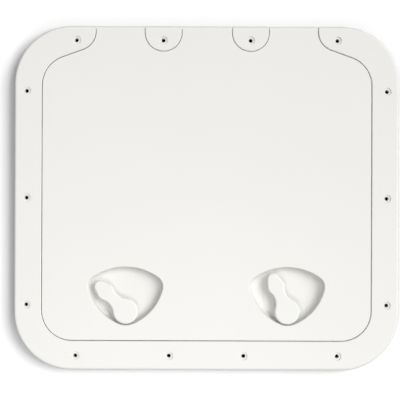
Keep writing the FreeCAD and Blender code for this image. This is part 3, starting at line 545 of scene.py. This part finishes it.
# The lid's colour is darkened below 7 mm, a painted shade in its latch recesses and on its lower parts.
LID_PLASTIC = MouldedPlastic("lid_plastic", OFF_WHITE, 0.34, grain=2600.0, cloud=0.014, painted_shade=0.06)
HANDLE_PLASTIC = MouldedPlastic("handle_plastic", (0.815, 0.811, 0.787), 0.30, grain=3200.0, cloud=0.012)
PLUG_PLASTIC = MouldedPlastic("plug_plastic", (0.78, 0.77, 0.74), 0.5, grain=3800.0, cloud=0.03)
BEARING_PLASTIC = MouldedPlastic("bearing_plastic", (0.80, 0.79, 0.75), 0.28, grain=4200.0, cloud=0.03)
CAM_NYLON = MouldedPlastic("cam_nylon", (0.74, 0.73, 0.69), 0.46, grain=1900.0, cloud=0.07, wear=0.8)
RUBBER = SealRubber("seal_rubber", (0.022, 0.022, 0.024), 0.72)
ROD_STEEL = StainlessSteel("rod_steel", (0.62, 0.61, 0.59), 0.24)
SCREW_STEEL = StainlessSteel("screw_steel", (0.58, 0.57, 0.56), 0.3, across=3400.0)


@dataclass
class Dressing:
    """Gives CAD nodes their finishes.

    Attributes:
        effects: the shared shader groups.
        built: the materials made so far, by name.
    """

    effects: SharedEffects
    built: dict[str, Material] = field(default_factory=dict)

    def material(self, finish: Finish) -> Material:
        """The finish's material, built when it is first asked for.

        Args:
            finish: the finish.

        Returns:
            The material.
        """
        if finish.name not in self.built:
            self.built[finish.name] = finish.build(self.effects)
        return self.built[finish.name]

    def dress(self, finish: Finish, *nodes: str) -> None:
        """Put a finish on CAD nodes.

        Args:
            finish: the finish.
            nodes: the nodes' names.
        """
        material = self.material(finish)
        for name in nodes:
            piece = bpy.data.objects[name]
            piece.data.materials.clear()
            piece.data.materials.append(material)
            LOG.info("%s gets %s", name, finish.name)

    def dress_pair(self, finish: Finish, piece: str) -> None:
        """Put a finish on the left and right nodes of a piece."""
        self.dress(finish, *(side.node(piece) for side in Side))


class PinMarkNodes:
    """The geometry group that repeats an ejector pin's round mark over a grid."""

    INPUTS = (
        ("Length", "NodeSocketFloat"),
        ("Width", "NodeSocketFloat"),
        ("Columns", "NodeSocketInt"),
        ("Rows", "NodeSocketInt"),
        ("Centre", "NodeSocketVector"),
        ("Radius", "NodeSocketFloat"),
        ("Depth", "NodeSocketFloat"),
        ("Seed", "NodeSocketInt"),
        ("Material", "NodeSocketMaterial"),
    )
    EDGES = 28
    SCALES = (0.95, 1.05)

    def __init__(self) -> None:
        """Build the group."""
        self.tree = bpy.data.node_groups.new("pin_marks", "GeometryNodeTree")
        face = self.tree.interface
        face.new_socket("Geometry", in_out="OUTPUT", socket_type="NodeSocketGeometry")
        self.sockets = {}
        for name, kind in self.INPUTS:
            self.sockets[name] = face.new_socket(name, in_out="INPUT", socket_type=kind).identifier
        make = NodeMaker(self.tree)
        source = make.add("NodeGroupInput").outputs
        grid = make.add("GeometryNodeMeshGrid")
        make.feed(grid, Size_X=source["Length"], Size_Y=source["Width"])
        make.feed(grid, Vertices_X=source["Columns"], Vertices_Y=source["Rows"])
        moved = make.add("GeometryNodeSetPosition")
        make.feed(moved, Geometry=grid.outputs["Mesh"], Offset=source["Centre"])
        disc = make.add("GeometryNodeMeshCylinder")
        make.feed(disc, Vertices=self.EDGES, Radius=source["Radius"], Depth=source["Depth"])
        worn = make.add("FunctionNodeRandomValue", data_type="FLOAT")
        make.feed(worn, Seed=source["Seed"])
        for number, scale in zip(RANDOM_ENDS, self.SCALES):
            make.put(scale, worn.inputs[number])
        spots = make.add("GeometryNodeInstanceOnPoints")
        make.feed(spots, Points=moved.outputs["Geometry"], Instance=disc.outputs["Mesh"])
        make.feed(spots, Scale=worn.outputs[RANDOM_RESULT])
        real = make.add("GeometryNodeRealizeInstances")
        make.feed(real, Geometry=spots.outputs["Instances"])
        coated = make.add("GeometryNodeSetMaterial")
        make.feed(coated, Geometry=real.outputs["Geometry"], Material=source["Material"])
        sink = make.add("NodeGroupOutput")
        make.join(coated.outputs["Geometry"], sink.inputs["Geometry"])


@dataclass(frozen=True)
class PinMarks:
    """The round marks that the mould's ejector pins left on an underside.

    Attributes:
        name: the piece's name.
        body: the node whose body it rides.
        span: the grid's length and width between the outer marks' centres.
        counts: its columns and rows.
        centre: its middle, in the underside's plane.
        radius: a mark's radius.
        proud: how far a mark stands out of the surface.
        sunk: how far it goes into the wall.
        seed: what the marks' small differences start from.
    """

    name: str
    body: str
    span: Pair
    counts: tuple[int, int]
    centre: Triple
    radius: float = 0.004
    proud: float = 0.00015
    sunk: float = 0.0003
    seed: int = 4

    def make(self, nodes: PinMarkNodes, material: Material) -> Piece:
        """Make the marks as one plain mesh.

        Args:
            nodes: the geometry group that repeats a mark.
            material: the wall's material.

        Returns:
            The piece.
        """
        x, y, z = self.centre
        values = {
            "Length": self.span[0],
            "Width": self.span[1],
            "Columns": self.counts[0],
            "Rows": self.counts[1],
            "Centre": (x, y, z + (self.sunk - self.proud) / 2),
            "Radius": self.radius,
            "Depth": self.proud + self.sunk,
            "Seed": self.seed,
            "Material": material,
        }
        piece = bpy.data.objects.new(self.name, bpy.data.meshes.new(f"{self.name}_start"))
        bpy.context.scene.collection.objects.link(piece)
        modifier = piece.modifiers.new("marks", "NODES")
        modifier.node_group = nodes.tree
        for name, value in values.items():
            modifier[nodes.sockets[name]] = value
        graph = bpy.context.evaluated_depsgraph_get()
        mesh = bpy.data.meshes.new_from_object(piece.evaluated_get(graph))
        piece.modifiers.clear()
        piece.data = mesh
        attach(piece, self.body)
        LOG.info("%s has %d faces", self.name, len(mesh.polygons))
        return piece


@dataclass
class DeckFrame:
    """The frame with its hinge rods and their plugs.

    Attributes:
        dressing: what gives the nodes their finishes.
        pins: the marks under the flange.
    """

    dressing: Dressing
    pins: PinMarks = PinMarks(
        "frame_pin_marks", "frame", span=(0.4760, 0.2367), counts=(2, 6), centre=(0.0, 0.0, 0.006)
    )

    def dress(self) -> None:
        """Give each piece its finish."""
        self.dressing.dress(FRAME_PLASTIC, "frame")
        self.dressing.dress_pair(ROD_STEEL, "hinge_rod")
        self.dressing.dress_pair(PLUG_PLASTIC, "rod_plug")

    def mark(self, nodes: PinMarkNodes) -> Piece:
        """Make the marks under the flange."""
        return self.pins.make(nodes, self.dressing.material(FRAME_PLASTIC))


@dataclass
class HatchLid:
    """The lid with its seal and the bushes in its recesses.

    Attributes:
        dressing: what gives the nodes their finishes.
        pins: the marks under the plate.
    """

    dressing: Dressing
    pins: PinMarks = PinMarks(
        "lid_pin_marks", "lid", span=(0.3140, 0.2000), counts=(8, 3), centre=(0.0, 0.0250, 0.0055)
    )

    def dress(self) -> None:
        """Give each piece its finish."""
        self.dressing.dress(LID_PLASTIC, "lid")
        self.dressing.dress(RUBBER, "lid_gasket")
        self.dressing.dress_pair(BEARING_PLASTIC, "shaft_bush")

    def mark(self, nodes: PinMarkNodes) -> Piece:
        """Make the marks under the plate."""
        return self.pins.make(nodes, self.dressing.material(LID_PLASTIC))


@dataclass
class Latch:
    """One latch: handle, seal, washers, cam and screw.

    Attributes:
        dressing: what gives the nodes their finishes.
        side: the side of the hatch that it is on.
    """

    FINISHES = (
        (HANDLE_PLASTIC, "handle"),
        (RUBBER, "shaft_seal"),
        (BEARING_PLASTIC, "friction_washer"),
        (CAM_NYLON, "cam"),
        (SCREW_STEEL, "cam_washer"),
        (SCREW_STEEL, "cam_screw"),
    )

    dressing: Dressing
    side: Side

    def dress(self) -> None:
        """Give each piece its finish."""
        for finish, piece in self.FINISHES:
            self.dressing.dress(finish, self.side.node(piece))


@dataclass
class WhiteFloor:
    """The white floor, and a board under the flange that is cut out for the collar.

    Attributes:
        level: the height of the floor.
        size: the floor's side.
        board_top: the height of the board's top.
        board_rim: the board's width outside its cut-out.
        pit_half: half the length and half the width of the cut-out.
        pit_corner: the cut-out's corner radius.
        pit_depth: how deep the cut-out is.
        chords: the chords in each corner.
        glow: how much brighter the floor shows than it lights.
        white: how pale it shows.
        bounce: how much light it throws back at the hatch's edges.
        dull: the paper's roughness.
        sheen: how much it reflects.
        under_shade_grey: the grey of the cut-out's lining, a painted shade for the dark under the flange.
    """

    PAPER = 0
    LINING = 1

    level: float = -0.013
    size: float = 6.0
    board_top: float = -0.0002
    board_rim: float = 0.0055
    pit_half: Pair = (0.2480, 0.2205)
    pit_corner: float = 0.0685
    pit_depth: float = 0.04
    chords: int = 12
    glow: float = 0.05
    white: float = 0.96
    bounce: float = 0.40
    dull: float = 0.9
    sheen: float = 0.1
    under_shade_grey: float = 0.02

    def lay(self) -> Piece:
        """Lay the floor and the board.

        Returns:
            The floor.
        """
        build = bmesh.new()
        self._surround(build, self._board(build))
        bmesh.ops.recalc_face_normals(build, faces=build.faces)
        mesh = bpy.data.meshes.new("floor")
        build.to_mesh(mesh)
        build.free()
        piece = bpy.data.objects.new("floor", mesh)
        bpy.context.scene.collection.objects.link(piece)
        mesh.materials.append(self._paper())
        mesh.materials.append(self._shadow_lining())
        LOG.info("floor has %d faces", len(mesh.polygons))
        return piece

    def _outline(self, outset: float) -> list[Pair]:
        """The cut-out's outline, anticlockwise from its right side.

        Args:
            outset: how far outside the cut-out it runs.

        Returns:
            The outline's points.
        """
        points = []
        radius = self.pit_corner + outset
        for quarter, (sx, sy) in enumerate(((1, 1), (-1, 1), (-1, -1), (1, -1))):
            cx = sx * (self.pit_half[0] - self.pit_corner)
            cy = sy * (self.pit_half[1] - self.pit_corner)
            for step in range(self.chords + 1):
                turn = math.pi / 2 * (quarter + step / self.chords)
                points.append((cx + radius * math.cos(turn), cy + radius * math.sin(turn)))
        return points

    def _board(self, build: Build) -> list[Corner]:
        """Make the board's edge and top, and the lined cut-out.

        Args:
            build: the mesh that is built.

        Returns:
            The ring of corners where the board's edge meets the floor.
        """
        around, inside = self._outline(self.board_rim), self._outline(0.0)
        levels = (
            (around, self.level),
            (around, self.board_top),
            (inside, self.board_top),
            (inside, -self.pit_depth),
        )
        rings = [[build.verts.new((x, y, height)) for x, y in points] for points, height in levels]
        count = len(around)
        for ring, following in zip(rings, rings[1:]):
            lined = following is rings[-1]
            for i in range(count):
                j = (i + 1) % count
                face = build.faces.new((ring[i], ring[j], following[j], following[i]))
                face.material_index = self.LINING if lined else self.PAPER
        build.faces.new(rings[-1]).material_index = self.LINING
        return rings[0]

    def _surround(self, build: Build, ring: list[Corner]) -> None:
        """Make the floor from a ring out to its four corners.

        Args:
            build: the mesh that is built.
            ring: the corners where the board's edge meets the floor.
        """
        half = self.size / 2
        corners = [(half, half), (-half, half), (-half, -half), (half, -half)]
        outer = [build.verts.new((x, y, self.level)) for x, y in corners]
        side = len(ring) // 4
        for quarter, corner in enumerate(outer):
            arc = ring[quarter * side:(quarter + 1) * side]
            for here, there in zip(arc, arc[1:]):
                build.faces.new((corner, there, here))
            after = (quarter + 1) % 4
            build.faces.new((corner, outer[after], ring[after * side], arc[-1]))

    def _paper(self) -> Material:
        """White paper that shows a little brighter than it lights.

        Returns:
            The material.
        """
        material = bpy.data.materials.new("floor_paper")
        material.use_nodes = True
        make = NodeMaker(material.node_tree)
        shader = material.node_tree.nodes["Principled BSDF"]
        shader.inputs["Roughness"].default_value = self.dull
        shader.inputs["Specular IOR Level"].default_value = self.sheen
        seen = make.seen()
        white = make.spread(seen, to_low=self.bounce, to_high=self.white)
        make.join(white, shader.inputs["Base Color"])
        shader.inputs["Emission Color"].default_value = WHITE
        make.join(make.math("MULTIPLY", seen, self.glow), shader.inputs["Emission Strength"])
        return material

    def _shadow_lining(self) -> Material:
        """A dark lining in the cut-out, a painted shade for the dark under the flange, so that the screw
        holes look open.

        Returns:
            The material.
        """
        material = bpy.data.materials.new("pit_dark_shade")
        material.use_nodes = True
        shader = material.node_tree.nodes["Principled BSDF"]
        # Painted shade: a near-black lining stands in for the shade seen through the screw holes and under
        # the flange.
        shader.inputs["Base Color"].default_value = (self.under_shade_grey, self.under_shade_grey, self.under_shade_grey, 1.0)
        shader.inputs["Roughness"].default_value = 1.0
        shader.inputs["Specular IOR Level"].default_value = 0.0
        return material


@dataclass
class StudioLight:
    """A wide key light from the right, a soft fill over the front edge, and the room.

    Attributes:
        azimuth: the key light's direction about the vertical from the right, in degrees.
        elevation: its height, in degrees.
        width: how wide it is, in degrees.
        strength: how strong it is.
        fill_place: where the fill hangs, facing straight down.
        fill_size: its length and width.
        fill_power: its power in watts.
        horizon: how much light comes from the side.
        zenith: how much comes from overhead.
    """

    azimuth: float = 18.0
    elevation: float = 48.0
    width: float = 38.0
    strength: float = 2.49
    fill_place: Triple = (-0.03, -0.36, 0.62)
    fill_size: Pair = (0.25, 0.2)
    fill_power: float = 0.9
    horizon: float = 0.03
    zenith: float = 0.72

    def hang(self) -> None:
        """Hang both lamps and light the room."""
        key = bpy.data.lights.new("key", "SUN")
        key.energy = self.strength
        key.angle = math.radians(self.width)
        tilt = math.radians(90.0 - self.elevation)
        self._hang_lamp(key).rotation_euler = (0.0, tilt, math.radians(self.azimuth))
        fill = bpy.data.lights.new("front_fill", "AREA")
        fill.shape = "RECTANGLE"
        fill.size, fill.size_y = self.fill_size
        fill.energy = self.fill_power
        self._hang_lamp(fill).location = self.fill_place
        self._light_room()

    def _hang_lamp(self, light: Light) -> Piece:
        """Put a light into the scene, facing down and never seen in gloss.

        Args:
            light: the light.

        Returns:
            The lamp.
        """
        lamp = bpy.data.objects.new(light.name, light)
        lamp.visible_glossy = False
        bpy.context.scene.collection.objects.link(lamp)
        return lamp

    def _light_room(self) -> None:
        """Make the room lighter overhead than at the horizon, and white where it is seen."""
        world = bpy.data.worlds.new("studio")
        world.use_nodes = True
        make = NodeMaker(world.node_tree)
        background = world.node_tree.nodes["Background"]
        background.inputs["Color"].default_value = WHITE
        direction = make.add("ShaderNodeTexCoord")
        height = make.split(direction.outputs["Generated"])[2]
        lift = make.math("MULTIPLY", height, height)
        light = make.math("MULTIPLY_ADD", lift, self.zenith - self.horizon, self.horizon)
        make.join(make.math("MAXIMUM", make.seen(), light), background.inputs["Strength"])
        bpy.context.scene.world = world


@dataclass
class Viewpoint:
    """The camera straight above the hatch.

    Attributes:
        pixel: the width on the hatch's top of one pixel of the picture.
        centre: the point of the hatch's top at the picture's centre.
        distance: the camera's height above the hatch's top.
        top: the height of the hatch's top.
        turn: the camera's turn about the vertical, in degrees.
        sensor: the sensor's width in millimetres.
        far: how far the camera sees.
    """

    pixel: float = 0.001329
    centre: Pair = (-0.0088, -0.0024)
    distance: float = 1.3
    top: float = 0.009
    turn: float = 0.2
    sensor: float = 36.0
    far: float = 20.0

    def set_up(self) -> None:
        """Set the camera up, framed as the photograph."""
        data = bpy.data.cameras.new("camera")
        half_width = self.pixel * PICTURE_PIXELS / 2
        data.sensor_width = self.sensor
        data.lens = self.sensor / 2 * self.distance / half_width
        data.clip_end = self.far
        camera = bpy.data.objects.new("camera", data)
        camera.location = (*self.centre, self.top + self.distance)
        camera.rotation_euler = (0.0, 0.0, math.radians(self.turn))
        scene = bpy.context.scene
        scene.collection.objects.link(camera)
        scene.camera = camera
        scene.view_settings.view_transform = "Standard"


def main() -> None:
    """Dress the hatch, add its mould marks and set the studio."""
    logging.basicConfig(level=logging.INFO, format="%(message)s")
    dressing = Dressing(SharedEffects())
    deck_frame = DeckFrame(dressing)
    deck_frame.dress()
    hatch_lid = HatchLid(dressing)
    hatch_lid.dress()
    for side in Side:
        Latch(dressing, side).dress()
    nodes = PinMarkNodes()
    hatch_lid.mark(nodes)
    deck_frame.mark(nodes)
    WhiteFloor().lay()
    StudioLight().hang()
    Viewpoint().set_up()


if __name__ == "__main__":
    main()
